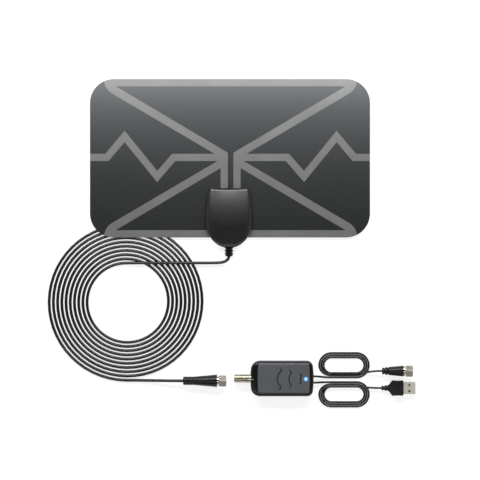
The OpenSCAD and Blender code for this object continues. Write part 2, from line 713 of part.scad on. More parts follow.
module amp_inductor() {
    color([0.25, 0.22, 0.2]) at_amp() translate([4, -7, deck_top]) {
        cylinder(r = 3, h = 0.8);
        cylinder(r = 1.8, h = 3);
        translate([0, 0, 2.4]) cylinder(r = 3, h = 0.8);
    }
}

module amp_socket() {
    color([0.8, 0.79, 0.74]) on_socket(0) difference() {
        union() {
            translate([0, 0, -socket_l]) cylinder(r1 = socket_r - 0.6, r2 = socket_r, h = 0.6);
            translate([0, 0, 0.6 - socket_l]) cylinder(r = socket_r, h = socket_l - 0.6);
            translate([0, 0, -socket_collar_l])
                cylinder(r = socket_collar_r, h = socket_collar_l + amp_wall + 0.5);
            translate([0, 0, amp_wall + 0.1]) cylinder(r = socket_flange_r, h = socket_flange_l);
            translate([0, 0, amp_wall + 0.5])
                cylinder(r = socket_r - 0.6, h = socket_flange_l + socket_tail_l - 0.5);
        }
        translate([0, 0, -socket_l - 1]) cylinder(r = socket_core_r + 0.05, h = 60);
    }
}

module amp_socket_insulator() {
    color([0.93, 0.92, 0.88]) on_socket(0) difference() {
        translate([0, 0, 0.3 - socket_l])
            cylinder(r = socket_core_r, h = socket_l - 0.3 + amp_wall + socket_flange_l + socket_tail_l);
        translate([0, 0, -socket_l - 1]) cylinder(r = socket_hole_r, h = 7);
        translate([0, 0, 5 - socket_l]) cylinder(r = 1, h = 60);
    }
}

module amp_socket_contact() {
    color([0.8, 0.65, 0.3]) on_socket(0) difference() {
        translate([0, 0, 6.2 - socket_l])
            cylinder(r = 0.95, h = socket_l - 6.2 + amp_wall + socket_flange_l + socket_tail_l + 0.5);
        translate([0, 0, 6 - socket_l]) cylinder(r = socket_hole_r, h = 6);
    }
}

module amp_lamp() {
    dome = lamp_r * 0.6;
    color([0.4, 0.7, 1]) at_amp() translate([lamp_at[0], lamp_at[1], 0]) {
        translate([0, 0, deck_top]) cylinder(r = lamp_r, h = amp_h - deck_top - lamp_rim);
        translate([0, 0, amp_h - lamp_rim]) rotate_extrude()
            polygon(concat([[0, 0]], [for (t = [0:15:75]) [lamp_r * cos(t), dome * sin(t)]], [[0, dome]]));
    }
}

module hank(y) {
    half = hank_l / 2 - hank_w / 2;
    hole = hank_w / 2 - 6.6;
    color([0.06, 0.06, 0.07]) translate([hank_x, y, 0]) linear_extrude(hank_t) difference() {
        union() {
            square([2 * half, hank_w], center = true);
            for (way = [-1, 1]) translate([way * half, 0]) circle(r = hank_w / 2);
        }
        square([2 * half, 2 * hole], center = true);
        for (way = [-1, 1]) translate([way * half, 0]) circle(r = hole);
    }
}

module rf_tube_a() { color([0.06, 0.06, 0.07]) cord(rf_route, cord_d); }
module rf_hank() { hank(rf_hank_y); }
module rf_tube_b() { color([0.06, 0.06, 0.07]) cord(rf_end_route, cord_d); }
module usb_tube_a() { color([0.06, 0.06, 0.07]) cord(usb_route, cord_d); }
module usb_hank() { hank(usb_hank_y); }
module usb_tube_b() { color([0.06, 0.06, 0.07]) cord(usb_end_route, cord_d); }

module usb_grip() {
    plan = [[5.9, 2.6], [7.6, 3.6], [10.3, grip_w / 2 - 0.4], [11.3, grip_w / 2], [14.5, grip_w / 2 - 0.35],
        [18, grip_w / 2 - 0.35], [20.8, grip_w / 2], [grip_l, grip_w / 2 - 0.8]];
    front = [[5.9, 2.4], [7.6, 2.9], [10.3, grip_h / 2 - 0.4], [11.3, grip_h / 2], [20.8, grip_h / 2],
        [grip_l, grip_h / 2 - 0.7]];
    both = function (half) concat(half, [for (i = [len(half) - 1:-1:0]) [half[i][0], -half[i][1]]]);
    color([0.08, 0.08, 0.08]) translate(usb_at) difference() {
        union() {
            intersection() {
                translate([0, 0, -grip_h]) linear_extrude(2 * grip_h) polygon(both(plan));
                rotate([90, 0, 0]) translate([0, 0, -grip_w]) linear_extrude(2 * grip_w) polygon(both(front));
            }
            rotate([0, 90, 0]) rotate_extrude() polygon([[0, 0], [2.2, 0], [2.6, 0.5], [2.6, 1.2], [1.9, 1.6],
                [1.9, 2.9], [2.8, 3.2], [2.85, 5], [2.3, 5.5], [2.3, 6.5], [0, 6.5]]);
        }
        rotate([0, 90, 0]) translate([0, 0, -1]) cylinder(r = cord_d / 2 + clear / 2, h = grip_l - usb_in);
        translate([grip_l - usb_in - 0.1, -usb_w / 2 - 0.05, -usb_h / 2 - 0.05])
            cube([20, usb_w + 0.1, usb_h + 0.1]);
    }
}

module usb_shell() {
    color([0.78, 0.78, 0.75]) translate(usb_at + [grip_l, 0, 0]) difference() {
        translate([-usb_in, -usb_w / 2, -usb_h / 2]) cube([usb_in + usb_out, usb_w, usb_h]);
        translate([-usb_in - 1, usb_wall - usb_w / 2, usb_wall - usb_h / 2])
            cube([usb_in + usb_out + 2, usb_w - 2 * usb_wall, usb_h - 2 * usb_wall]);
        for (way = [-1, 1]) translate([usb_out / 2 - 1, way * 3 - usb_window[1] / 2, -10])
            cube([usb_window[0], usb_window[1], 20]);
    }
}

module usb_tongue() {
    inside_h = usb_h - 2 * usb_wall - 0.1;
    color([0.95, 0.95, 0.95]) translate(usb_at + [grip_l, 0, 0]) {
        translate([-usb_in, -tongue_w / 2, -inside_h / 2]) cube([usb_in, tongue_w, inside_h]);
        translate([-1, -tongue_w / 2, -inside_h / 2]) cube([usb_out + 0.5, tongue_w, tongue_h]);
    }
}

module usb_contacts() {
    inside_h = usb_h - 2 * usb_wall - 0.1;
    color([0.85, 0.7, 0.35]) translate(usb_at + [grip_l, 0, tongue_h - inside_h / 2])
        for (y = [-3.5, -1, 1, 3.5]) translate([0, y - 0.5, 0]) cube([usb_out - 2.4, 1, contact_t]);
}

module feed_rivet_left() { feed_rivet(-1); }
module feed_rivet_right() { feed_rivet(1); }

panel_sheet();
element_foil();
housing_front();
housing_back();
balun_board();
balun_core();
balun_winding();
feed_rivet_left();
feed_rivet_right();
lead_strain_relief();
lead_tube_a();
lead_coil();
lead_tube_b();
lead_plug_boot();
lead_plug_body();
lead_plug_nut();
lead_plug_insulator();
lead_plug_pin();
amp_top_shell();
amp_bottom_shell();
amp_board();
amp_chip();
amp_inductor();
amp_socket();
amp_socket_insulator();
amp_socket_contact();
amp_lamp();
rf_tube_a();
rf_hank();
rf_tube_b();
rf_plug_boot();
rf_plug_body();
rf_plug_nut();
rf_plug_insulator();
rf_plug_pin();
usb_tube_a();
usb_hank();
usb_tube_b();
usb_grip();
usb_shell();
usb_tongue();
usb_contacts();
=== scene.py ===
import math

import bmesh
import bpy
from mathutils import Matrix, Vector


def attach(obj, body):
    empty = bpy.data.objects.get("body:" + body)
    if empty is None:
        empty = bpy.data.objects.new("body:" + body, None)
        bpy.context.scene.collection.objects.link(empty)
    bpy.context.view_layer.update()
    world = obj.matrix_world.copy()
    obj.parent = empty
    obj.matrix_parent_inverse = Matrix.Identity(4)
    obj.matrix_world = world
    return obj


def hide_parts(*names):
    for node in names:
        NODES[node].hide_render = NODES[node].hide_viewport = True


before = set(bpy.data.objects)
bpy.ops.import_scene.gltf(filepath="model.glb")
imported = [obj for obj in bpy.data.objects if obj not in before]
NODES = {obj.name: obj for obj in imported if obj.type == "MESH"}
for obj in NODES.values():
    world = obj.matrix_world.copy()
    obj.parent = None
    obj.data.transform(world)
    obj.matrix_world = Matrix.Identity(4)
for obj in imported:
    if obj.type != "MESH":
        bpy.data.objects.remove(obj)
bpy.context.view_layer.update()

MM = 0.001

# ---------------------------------------------------------------- camera, straight above as in the photograph

CAM_HEIGHT = 3.0                 # above the panel's top
PANEL_TOP = 0.004
FRAME_SIDE = 0.480               # the photograph's 480 pixels, 1 mm each
FRAME_MIDDLE = (0.010, -0.0025)
SENSOR = 36.0
camera_data = bpy.data.cameras.new("camera")
camera_data.sensor_width = SENSOR
camera_data.lens = SENSOR * CAM_HEIGHT / FRAME_SIDE
camera_data.clip_end = 20.0
camera = bpy.data.objects.new("camera", camera_data)
camera.location = (*FRAME_MIDDLE, CAM_HEIGHT + PANEL_TOP)
bpy.context.collection.objects.link(camera)
bpy.context.scene.camera = camera


# ---------------------------------------------------------------- materials

def new_material(name):
    m = bpy.data.materials.new(name)
    m.use_nodes = True
    t = m.node_tree
    shader = t.nodes["Principled BSDF"]
    coords = t.nodes.new("ShaderNodeTexCoord")
    return m, t, shader, coords


def noise(t, coords, scale, detail=4.0, rough=0.55, stretch=None):
    """A noise in the object's own coordinates, scale per metre; stretch is a scale for each axis."""
    n = t.nodes.new("ShaderNodeTexNoise")
    n.inputs["Scale"].default_value = scale
    n.inputs["Detail"].default_value = detail
    n.inputs["Roughness"].default_value = rough
    if stretch:
        mapping = t.nodes.new("ShaderNodeMapping")
        mapping.inputs["Scale"].default_value = stretch
        t.links.new(coords.outputs["Object"], mapping.inputs["Vector"])
        t.links.new(mapping.outputs["Vector"], n.inputs["Vector"])
    else:
        t.links.new(coords.outputs["Object"], n.inputs["Vector"])
    return n.outputs["Fac"]


def ramp(t, fac, stops):
    """A colour ramp through stops of (position, colour)."""
    r = t.nodes.new("ShaderNodeValToRGB")
    e = r.color_ramp.elements
    while len(e) < len(stops):
        e.new(0.5)
    for i, (pos, c) in enumerate(stops):
        e[i].position = pos
        e[i].color = (*c, 1.0)
    t.links.new(fac, r.inputs["Fac"])
    return r.outputs["Color"]


def spread(t, fac, low, high):
    """A noise's usual range spread out from low to high."""
    m = t.nodes.new("ShaderNodeMapRange")
    m.inputs["From Min"].default_value = 0.3
    m.inputs["From Max"].default_value = 0.7
    m.inputs["To Min"].default_value = low
    m.inputs["To Max"].default_value = high
    t.links.new(fac, m.inputs["Value"])
    return m.outputs["Result"]


def bump(t, height, strength, depth, below=None):
    """A bump of a depth in millimetres, over another one if below is given."""
    b = t.nodes.new("ShaderNodeBump")
    b.inputs["Strength"].default_value = strength
    b.inputs["Distance"].default_value = depth * MM
    t.links.new(height, b.inputs["Height"])
    if below:
        t.links.new(below, b.inputs["Normal"])
    return b.outputs["Normal"]


def cloudy(t, fac, colour, vary, edge):
    """A colour that goes up and down by its share vary, between edge and 1 - edge of a noise."""
    low, high = (tuple(min(1.0, c * k) for c in colour) for k in (1 - vary, 1 + vary))
    return ramp(t, fac, [(edge, low), (1 - edge, high)])


GLOSS_TO_CLOUD, GRAIN_TO_SWELL = 7, 22     # how much finer one noise of a plastic is than another
SWELL_STRENGTH, SWELL_DEPTH = 0.12, 3
METAL_VARY = 0.06
HAIR_ALONG, HAIR_ACROSS = 60.0, 6000.0


def moulded(name, colour, rough, grain=2400.0, depth=0.02, strength=0.25, vary=0.12, spec=0.5,
            cloud=45.0, uneven=0.10):
    """A moulded or extruded plastic: cloudy colour, uneven gloss, and a fine grain in the surface."""
    m, t, s, co = new_material(name)
    t.links.new(cloudy(t, noise(t, co, cloud, 3.0), colour, vary, 0.25), s.inputs["Base Color"])
    gloss = noise(t, co, cloud * GLOSS_TO_CLOUD, 4.0)
    t.links.new(spread(t, gloss, rough * (1 - uneven), rough * (1 + uneven)), s.inputs["Roughness"])
    fine = noise(t, co, grain, 5.0, 0.6)
    wide = noise(t, co, grain / GRAIN_TO_SWELL, 2.0)
    swell = bump(t, wide, SWELL_STRENGTH, depth * SWELL_DEPTH)
    t.links.new(bump(t, fine, strength, depth, swell), s.inputs["Normal"])
    s.inputs["Specular IOR Level"].default_value = spec
    return m


def metal(name, colour, rough, turned, axis=0):
    """A plated or bare metal: uneven polish and hairline marks round its axis, turned deep."""
    m, t, s, co = new_material(name)
    t.links.new(cloudy(t, noise(t, co, 160.0, 4.0), colour, METAL_VARY, 0.3), s.inputs["Base Color"])
    s.inputs["Metallic"].default_value = 1.0
    t.links.new(spread(t, noise(t, co, 260.0, 3.0), rough * 0.88, rough * 1.14), s.inputs["Roughness"])
    stretch = [HAIR_ALONG] * 3
    stretch[axis] = HAIR_ACROSS
    hair = noise(t, co, 1.0, 3.0, 0.5, tuple(stretch))
    t.links.new(bump(t, hair, turned, 0.01), s.inputs["Normal"])
    return m


FILM_COAT, FILM_ROUGH = 0.95, 0.29         # the clear film over sheet and conductor


def panel_material():
    """Black laminated sheet under a clear satin film, with the faint weave of its print."""
    m, t, s, co = new_material("panel_sheet_print")
    soft = noise(t, co, 9.0, 3.0, 0.5, (1.0, 2.2, 1.0))
    t.links.new(ramp(t, soft, [(0.3, (0.0048, 0.0050, 0.0051)), (0.7, (0.0068, 0.0071, 0.0073))]),
                s.inputs["Base Color"])
    t.links.new(spread(t, noise(t, co, 320.0, 4.0), 0.28, 0.305), s.inputs["Roughness"])
    fine = noise(t, co, 3800.0, 4.0, 0.6)
    wavy = noise(t, co, 22.0, 2.0)
    t.links.new(bump(t, fine, 0.08, 0.01, bump(t, wavy, 0.08, 0.20)), s.inputs["Normal"])
    s.inputs["Specular IOR Level"].default_value = 0.88
    s.inputs["Specular Tint"].default_value = (0.93, 0.98, 1.0, 1.0)
    s.inputs["Coat Weight"].default_value = FILM_COAT
    s.inputs["Coat Roughness"].default_value = FILM_ROUGH
    s.inputs["Coat Tint"].default_value = (0.95, 0.985, 1.0, 1.0)
    return m


def foil_material(name, low, high):
    """Grey conductive ink: a flat metal pigment with tiny specks."""
    m, t, s, co = new_material(name)
    soft = noise(t, co, 30.0, 3.0)
    speck = noise(t, co, 5200.0, 3.0, 0.7)
    mix = t.nodes.new("ShaderNodeMath")
    mix.operation = "MULTIPLY_ADD"
    mix.inputs[1].default_value = 0.30
    t.links.new(speck, mix.inputs[0])
    t.links.new(soft, mix.inputs[2])
    t.links.new(ramp(t, mix.outputs["Value"], [(0.45, low), (0.85, high)]), s.inputs["Base Color"])
    t.links.new(spread(t, speck, 0.32, 0.38), s.inputs["Roughness"])
    s.inputs["Coat Weight"].default_value = FILM_COAT
    s.inputs["Coat Roughness"].default_value = FILM_ROUGH
    t.links.new(bump(t, speck, 0.12, 0.01), s.inputs["Normal"])
    s.inputs["Specular IOR Level"].default_value = 0.95
    return m


def board_material():
    """Green solder mask over traces."""
    m, t, s, co = new_material("board_mask")
    traces = t.nodes.new("ShaderNodeTexBrick")
    traces.inputs["Scale"].default_value = 260.0
    traces.inputs["Mortar Size"].default_value = 0.06
    traces.inputs["Color1"].default_value = (0.008, 0.060, 0.026, 1.0)
    traces.inputs["Color2"].default_value = (0.010, 0.075, 0.030, 1.0)
    traces.inputs["Mortar"].default_value = (0.030, 0.150, 0.060, 1.0)
    t.links.new(co.outputs["Object"], traces.inputs["Vector"])
    t.links.new(traces.outputs["Color"], s.inputs["Base Color"])
    t.links.new(spread(t, noise(t, co, 600.0), 0.25, 0.4), s.inputs["Roughness"])
    t.links.new(bump(t, traces.outputs["Fac"], 0.3, 0.03), s.inputs["Normal"])
    return m


LAMP_AT = (0.0757, -0.1412)
LAMP_FADE_R = 0.0026


def lamp_material():
    """A diffused lens over a lit chip: pale in the middle, blue towards the rim."""
    m, t, s, co = new_material("lamp_lens")
    away = t.nodes.new("ShaderNodeVectorMath")
    away.operation = "DISTANCE"
    flat = t.nodes.new("ShaderNodeMapping")
    flat.inputs["Scale"].default_value = (1.0, 1.0, 0.0)
    t.links.new(co.outputs["Object"], flat.inputs["Vector"])
    t.links.new(flat.outputs["Vector"], away.inputs[0])
    away.inputs[1].default_value = (*LAMP_AT, 0.0)
    wide = t.nodes.new("ShaderNodeMath")
    wide.operation = "MULTIPLY"
    wide.inputs[1].default_value = 1.0 / LAMP_FADE_R
    t.links.new(away.outputs["Value"], wide.inputs[0])
    glow = ramp(t, wide.outputs["Value"], [(0.12, (0.62, 0.86, 1.0)), (0.5, (0.22, 0.56, 1.0)),
                                           (0.95, (0.045, 0.22, 0.80))])
    t.links.new(glow, s.inputs["Emission Color"])
    t.links.new(ramp(t, noise(t, co, 700.0), [(0.3, (0.05, 0.12, 0.30)), (0.7, (0.08, 0.18, 0.42))]),
                s.inputs["Base Color"])
    s.inputs["Emission Strength"].default_value = 0.95
    t.links.new(spread(t, noise(t, co, 900.0), 0.18, 0.3), s.inputs["Roughness"])
    return m


PANEL = panel_material()
FOIL = foil_material("conductor_ink", (0.116, 0.117, 0.119), (0.148, 0.150, 0.153))
# a paler copy of the ink, a painted highlight for the stripes' edges
FOIL_PAINTED_HIGHLIGHT = foil_material("conductor_edge_painted_highlight", (0.180, 0.182, 0.185), (0.230, 0.232, 0.236))
HOUSING = moulded("housing_plastic", (0.0062, 0.0064, 0.0068), 0.305, depth=0.01, strength=0.10,
                  spec=0.8, uneven=0.04)
HOUSING_BACK = moulded("housing_rear_plastic", (0.0130, 0.0133, 0.0140), 0.48, 2000.0, 0.03, 0.35)
CABLE = moulded("cable_jacket", (0.0018, 0.0018, 0.0020), 0.32, 3200.0, 0.0005, 0.01,
                spec=0.68, cloud=20.0, uneven=0.02)
BOOT = moulded("boot_vinyl", (0.0030, 0.0030, 0.0032), 0.32, 2200.0, 0.004, 0.08, spec=0.45, uneven=0.04)
AMP_BLACK = moulded("amplifier_rim_plastic", (0.0042, 0.0044, 0.0048), 0.22, 2600.0, 0.004, 0.08,
                    spec=0.42, uneven=0.04)
AMP_DECK = moulded("amplifier_deck_plastic", (0.090, 0.096, 0.104), 0.38, strength=0.22, vary=0.08,
                   uneven=0.06)
GROOVE = moulded("groove_shadow_plastic", (0.0050, 0.0052, 0.0056), 0.60)
AMP_FLOOR = moulded("amplifier_floor_plastic", (0.0100, 0.0102, 0.0110), 0.45, 2000.0, 0.03, 0.35)
NICKEL = metal("nickel_plate", (0.66, 0.625, 0.545), 0.16, 0.02)
STEEL = metal("plated_shell", (0.72, 0.71, 0.63), 0.56, 0.02, axis=1)
COPPER = metal("copper_wire", (0.85, 0.45, 0.28), 0.28, 0.1)
TIN = metal("tinned_rivet", (0.78, 0.77, 0.74), 0.36, 0.1)
GOLD = metal("gold_contact", (0.50, 0.36, 0.18), 0.32, 0.05)
# gold darkened as painted shade, for the contacts inside the power plug's shell
SHADED_GOLD = metal("power_contact", (0.20, 0.145, 0.08), 0.42, 0.05)
WHITE = moulded("white_insulator", (0.78, 0.77, 0.72), 0.38, depth=0.01, strength=0.15, vary=0.05)
FERRITE = moulded("ferrite_body", (0.022, 0.020, 0.019), 0.62, 1800.0, 0.03, 0.4, 0.25)
CHIP = moulded("chip_compound", (0.012, 0.012, 0.012), 0.55, 3000.0, 0.01, 0.3)
BOARD = board_material()
LAMP = lamp_material()


def paint(obj, *materials):
    obj.data.materials.clear()
    for m in materials:
        obj.data.materials.append(m)


def soften(o, width, segments, angle):
    """Bevels the edges that are sharper than an angle."""
    b = o.modifiers.new("edge", "BEVEL")
    b.width = width * MM
    b.segments = segments
    b.limit_method = "ANGLE"
    b.angle_limit = math.radians(angle)


def split_edges(o, angle):
    """Shades the edges that are sharper than an angle as edges, and the rest smooth."""
    s = o.modifiers.new("split", "EDGE_SPLIT")
    s.split_angle = math.radians(angle)


def dress(node, material, bevel=0.0):
    """Gives a carried-over CAD node its material, softened edges and smooth shading on its curved faces."""
    o = NODES[node]
    paint(o, material)
    for p in o.data.polygons:
        p.use_smooth = True
    if bevel:
        soften(o, bevel, 2, 35.0)
    split_edges(o, 42.0)


# ---------------------------------------------------------------- mesh helpers, in millimetres

def weld(o, join=False):
    """Turns all faces outwards, after joining the points that meet if join is set."""
    b = bmesh.new()
    b.from_mesh(o.data)
    if join:
        bmesh.ops.remove_doubles(b, verts=b.verts, dist=1e-7)
    bmesh.ops.recalc_face_normals(b, faces=b.faces)
    b.to_mesh(o.data)
    b.free()


def add_mesh(name, points, faces, material):
    mesh = bpy.data.meshes.new(name)
    mesh.from_pydata([tuple(c * MM for c in p) for p in points], [], faces)
    mesh.update()
    o = bpy.data.objects.new(name, mesh)
    bpy.context.collection.objects.link(o)
    paint(o, material)
    for p in mesh.polygons:
        p.use_smooth = True
    weld(o)
    return o


def loft(rings, capped=True):
    """Points and faces of a skin over rings that all have the same number of points."""
    n = len(rings[0])
    points = [p for ring in rings for p in ring]
    faces = [(k * n + i, k * n + (i + 1) % n, (k + 1) * n + (i + 1) % n, (k + 1) * n + i)
             for k in range(len(rings) - 1) for i in range(n)]
    if capped:
        faces.append(tuple(range(n - 1, -1, -1)))
        faces.append(tuple(range((len(rings) - 1) * n, len(rings) * n)))
    return points, faces


ROUND = 64                       # points round a turned piece


def ring_x(at, x, radius):
    """A ring round the X axis; radius is a number or a function of the angle."""
    out = []
    for i in range(ROUND):
        a = 2 * math.pi * i / ROUND
        r = radius(a) if callable(radius) else radius
        out.append((at[0] + x, at[1] + r * math.cos(a), at[2] + r * math.sin(a)))
    return out


def arc(cx, cy, r, a0, a1, n):
    """Points along an arc, in n steps, its angles in degrees."""
    return [(cx + r * math.cos(math.radians(a0 + (a1 - a0) * i / n)),
             cy + r * math.sin(math.radians(a0 + (a1 - a0) * i / n))) for i in range(n + 1)]


def smooth_path(points, step=1.5):
    """A Catmull-Rom curve through the points, resampled at about one step."""
    out = []
    n = len(points)
    for i in range(n - 1):
        p0, p1, p2, p3 = points[max(i - 1, 0)], points[i], points[i + 1], points[min(i + 2, n - 1)]
        parts = max(1, round(math.dist(p1, p2) / step))
        for k in range(parts):
            u = k / parts
            out.append(tuple(
                0.5 * (2 * b + (c - a) * u + (2 * a - 5 * b + 4 * c - d) * u * u
                       + (3 * b - a - 3 * c + d) * u ** 3)
                for a, b, c, d in zip(p0, p1, p2, p3)))
    out.append(tuple(points[-1]))
    return out


def cord_object(name, points, diameter, material):
    curve = bpy.data.curves.new(name, "CURVE")
    curve.dimensions = "3D"
    curve.bevel_depth = diameter / 2 * MM
    curve.bevel_resolution = 6
    curve.use_fill_caps = True
    spline = curve.splines.new("POLY")
    spline.points.add(len(points) - 1)
    for s, p in zip(spline.points, points):
        s.co = (p[0] * MM, p[1] * MM, p[2] * MM, 1.0)
    spline.use_smooth = True
    o = bpy.data.objects.new(name, curve)
    bpy.context.collection.objects.link(o)
    curve.materials.append(material)
    return o


# ---------------------------------------------------------------- the three cords, on the CAD's routes

LEAD_D = 3.0
COIL = (-103.4, -64.2)           # the coil's middle
COIL_R = 38.6                    # radius of its first turn
COIL_PITCH = 4.22
COIL_TURNS = 9.5
TURN_STEPS = 56
SINK_ANGLE, SINK = 0.55, 1.15    # the run comes down onto the floor over this angle, by this much
CORD_D = 2.1
HANK_HALF = 12.55                # half of a hank's straight run
HANK_WIDTHS = (12.2, 10.0, 7.8)  # half widths of its three turns
BEND_STEPS = 12
STRAND_STEP = 2.16               # from a strand's middle to that of one lying on it


def lead_path():
    """From the strain relief over the coil to its innermost turn, outwards round it, and to the plug."""
    run = [(-1, -8, 5.6), (-1, -12, 5.6), (-1, -16, 5.6), (-1.05, -19.2, 5.6), (-2.0, -21.5, 5.45),
           (-4.4, -23.6, 5.15), (-8.4, -24.9, 4.85), (-14, -25.3, 4.65), (-22, -25.4, 4.6), (-32, -25.4, 4.6),
           (-46, -25.4, 4.6), (-60, -25.4, 4.6), (-74, -25.4, 4.6), (-84, -25.4, 4.6), (-90, -25.4, 4.45),
           (-95, -25.45, 3.95), (-99, -25.5, 3.3)]
    turns = []
    steps = int(COIL_TURNS * TURN_STEPS)
    for i in range(steps + 1):
        phi = 2 * math.pi * COIL_TURNS * i / steps
        r = COIL_R + COIL_PITCH * phi / (2 * math.pi)
        a = math.pi / 2 + phi
        sink = max(0.0, 1.0 - phi / SINK_ANGLE)
        turns.append((COIL[0] + r * math.cos(a), COIL[1] + r * math.sin(a),
                      LEAD_D / 2 + SINK * sink * sink * (3 - 2 * sink)))
    end = [(-97, -142.92, 1.5), (-91, -142.95, 1.6), (-85, -143.0, 2.0), (-79, -143.05, 2.8),
           (-73, -143.1, 3.8), (-67, -143.15, 4.8), (-61, -143.2, 5.7), (-55, -143.2, 6.3), (-49, -143.2, 6.5),
           (-43, -143.2, 6.5), (-36, -143.2, 6.5), (-27.2, -143.2, 6.5)]
    return smooth_path(run + [turns[0]])[:-1] + turns + smooth_path([turns[-1]] + end)[1:]


def hank_path(middle, way, start, end):
    """Three flat turns wound inwards from the outermost run, which is the lower one for way 1 and the upper
    one for way -1; the last run climbs onto the innermost strand and leaves over the end turns."""
    flat = []
    low_z = CORD_D / 2
    last = len(HANK_WIDTHS) - 1

    def at(x, w, z):
        flat.append((middle[0] + x, middle[1] - way * w, z))

    for k, w in enumerate(HANK_WIDTHS):
        inner = HANK_WIDTHS[min(k + 1, last)]
        for x in ([-HANK_HALF] if k else []) + [-HANK_HALF / 2, 0, HANK_HALF / 2]:
            at(x, w, low_z)
        for i in range(BEND_STEPS + 1):
            a = math.pi * i / BEND_STEPS
            at(HANK_HALF + w * math.sin(a), w * math.cos(a), low_z)
        for x in (HANK_HALF / 2, 0, -HANK_HALF / 2):
            at(x, -w, low_z)
        for i in range(BEND_STEPS + (k == last)):
            f = max(0.0, 2 * i / BEND_STEPS - 1)
            turn_in = f * f * (3 - 2 * f)
            ww = w + (inner - w) * turn_in
            apart = (HANK_WIDTHS[-2] - HANK_WIDTHS[-1]) * (1 - turn_in)
            climb = math.sqrt(max(0.0, STRAND_STEP ** 2 - apart ** 2)) if k == last else 0.0
            a = math.pi * i / BEND_STEPS
            at(-HANK_HALF - ww * math.sin(a), -ww * math.cos(a), low_z + climb)
    for x in (-HANK_HALF / 2, 0, HANK_HALF / 2, HANK_HALF):
        at(x, HANK_WIDTHS[-1], low_z + STRAND_STEP)
    return smooth_path(start + flat + end, 1.2)


lead_points = lead_path()
rf_points = hank_path(
    (114.1, -127.85), 1,
    [(77, -138.8, 4.6), (80, -138.8, 4.6), (83.5, -138.8, 4.6), (86.5, -138.9, 4.2), (89.5, -139.2, 3.2),
     (92.5, -139.55, 2.1), (96, -139.9, 1.3), (100, -140.05, 1.07)],
    [(131, -135.3, 3.2), (135.5, -134.95, 3.2), (140, -134.3, 3.45), (144.5, -133.7, 4.6),
     (148.5, -133.42, 5.95), (151.5, -133.4, 6.38), (155, -133.4, 6.4), (159.2, -133.4, 6.4)])
usb_points = hank_path(
    (114.1, -156.95), -1,
    [(77, -145.2, 4.6), (80, -145.2, 4.6), (83.5, -145.2, 4.6), (86.5, -145.15, 4.2), (89.5, -145.0, 3.2),
     (92.5, -144.85, 2.1), (96, -144.78, 1.3), (100, -144.75, 1.07)],
    [(131, -149.5, 3.2), (135.5, -149.9, 3.2), (140, -150.2, 3.25), (144.5, -150.45, 3.5),
     (148.5, -150.5, 3.85), (151.5, -150.5, 4.0), (156, -150.5, 4.0), (162, -150.5, 4.0)])

lead = cord_object("lead_cable", lead_points, LEAD_D, CABLE)
rf = cord_object("rf_cable", rf_points, CORD_D, CABLE)
usb = cord_object("usb_cable", usb_points, CORD_D, CABLE)
for piece, nodes in ((lead, ("lead_tube_a", "lead_coil", "lead_tube_b")),
                     (rf, ("rf_tube_a", "rf_hank", "rf_tube_b")),
                     (usb, ("usb_tube_a", "usb_hank", "usb_tube_b"))):
    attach(piece, "antenna_set")
    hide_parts(*nodes)

# ---------------------------------------------------------------- antenna panel

HIGHLIGHT_BORDER = 0.45                    # width of the painted highlight round the ink's stripes
dress("panel_sheet", PANEL)


def conductor_pattern():
    """The printed conductor with a paler border round its stripes: a painted highlight along their edges."""
    mesh = bpy.data.meshes.new("conductor_pattern")
    o = bpy.data.objects.new("conductor_pattern", mesh)
    bpy.context.collection.objects.link(o)
    b = bmesh.new()
    b.from_mesh(NODES["element_foil"].data)
    bmesh.ops.remove_doubles(b, verts=b.verts, dist=1e-7)
    top = max(v.co.z for v in b.verts)
    faces = [f for f in b.faces if f.normal.z > 0.9 and f.calc_center_median().z > top - 1e-5]
    for f in bmesh.ops.inset_region(b, faces=faces, thickness=HIGHLIGHT_BORDER * MM, use_even_offset=True)["faces"]:
        f.material_index = 1
    b.to_mesh(mesh)
    b.free()
    paint(o, FOIL, FOIL_PAINTED_HIGHLIGHT)
    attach(o, "antenna_set")
    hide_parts("element_foil")


conductor_pattern()

# ---------------------------------------------------------------- balun housing, smoother than the CAD's facets

HOUSING_X = -1.0
A, UP, LOW, MID, TOP_Y, TIP = 23.6, 61.0, 27.5, 17.0, 49.3, 9.7    # the outline's two ellipses and its ends
CROWN, SKIRT, CROWN_POWER = 14.0, 6.5, 2.3
LEAD_Z, RELIEF_R = 5.6, 4.8
HOUSING_WALL = 1.6
FOOT_ON_FOIL, FOOT_ON_BACK = 4.06, 3.42    # the skirt's lower edge over the panel and below it
SKIRT_EASE = 0.25                # the skirt's top is rounded below this line
DOME, DOME_Y = 0.0024, 13.0      # the deck falls along its length from this line
END_ROUND = 2.4                  # radius of the edge over the flat end
LOW_STEPS, UP_STEPS, ACROSS = 84, 56, 12
SIDE_POINTS = LOW_STEPS + UP_STEPS + 1


def housing_points(inset, top_inset=None):
    """The outline drawn in by a wall: up its right side, across the flat end and down its left side."""
    a, up, low = A - inset, UP - inset, LOW - inset
    top_a = math.asin((TOP_Y - (inset if top_inset is None else top_inset) - MID) / up)
    tip_a = math.asin((TIP - inset + MID) / low)
    right = []
    for i in range(LOW_STEPS):
        t = -tip_a * (1 - i / LOW_STEPS)
        right.append((a * math.cos(t), MID + low * math.sin(t)))
    for i in range(UP_STEPS + 1):
        t = top_a * i / UP_STEPS
        right.append((a * math.cos(t), MID + up * math.sin(t)))
    across = [(right[-1][0] * (1 - 2 * i / ACROSS), right[-1][1]) for i in range(1, ACROSS)]
    return ([(HOUSING_X + x, y) for x, y in right] + [(HOUSING_X + x, y) for x, y in across]
            + [(HOUSING_X - x, y) for x, y in reversed(right)])


def skirt_z(y):
    """Height of the skirt's top, higher round the lead's exit."""
    s = min(1.0, max(0.0, (12 - y) / 20))
    return SKIRT + (LEAD_Z + RELIEF_R + 0.2 - SKIRT) * s * s * (3 - 2 * s)


def foot_z(y):
    return FOOT_ON_FOIL if y > 0.02 else FOOT_ON_BACK


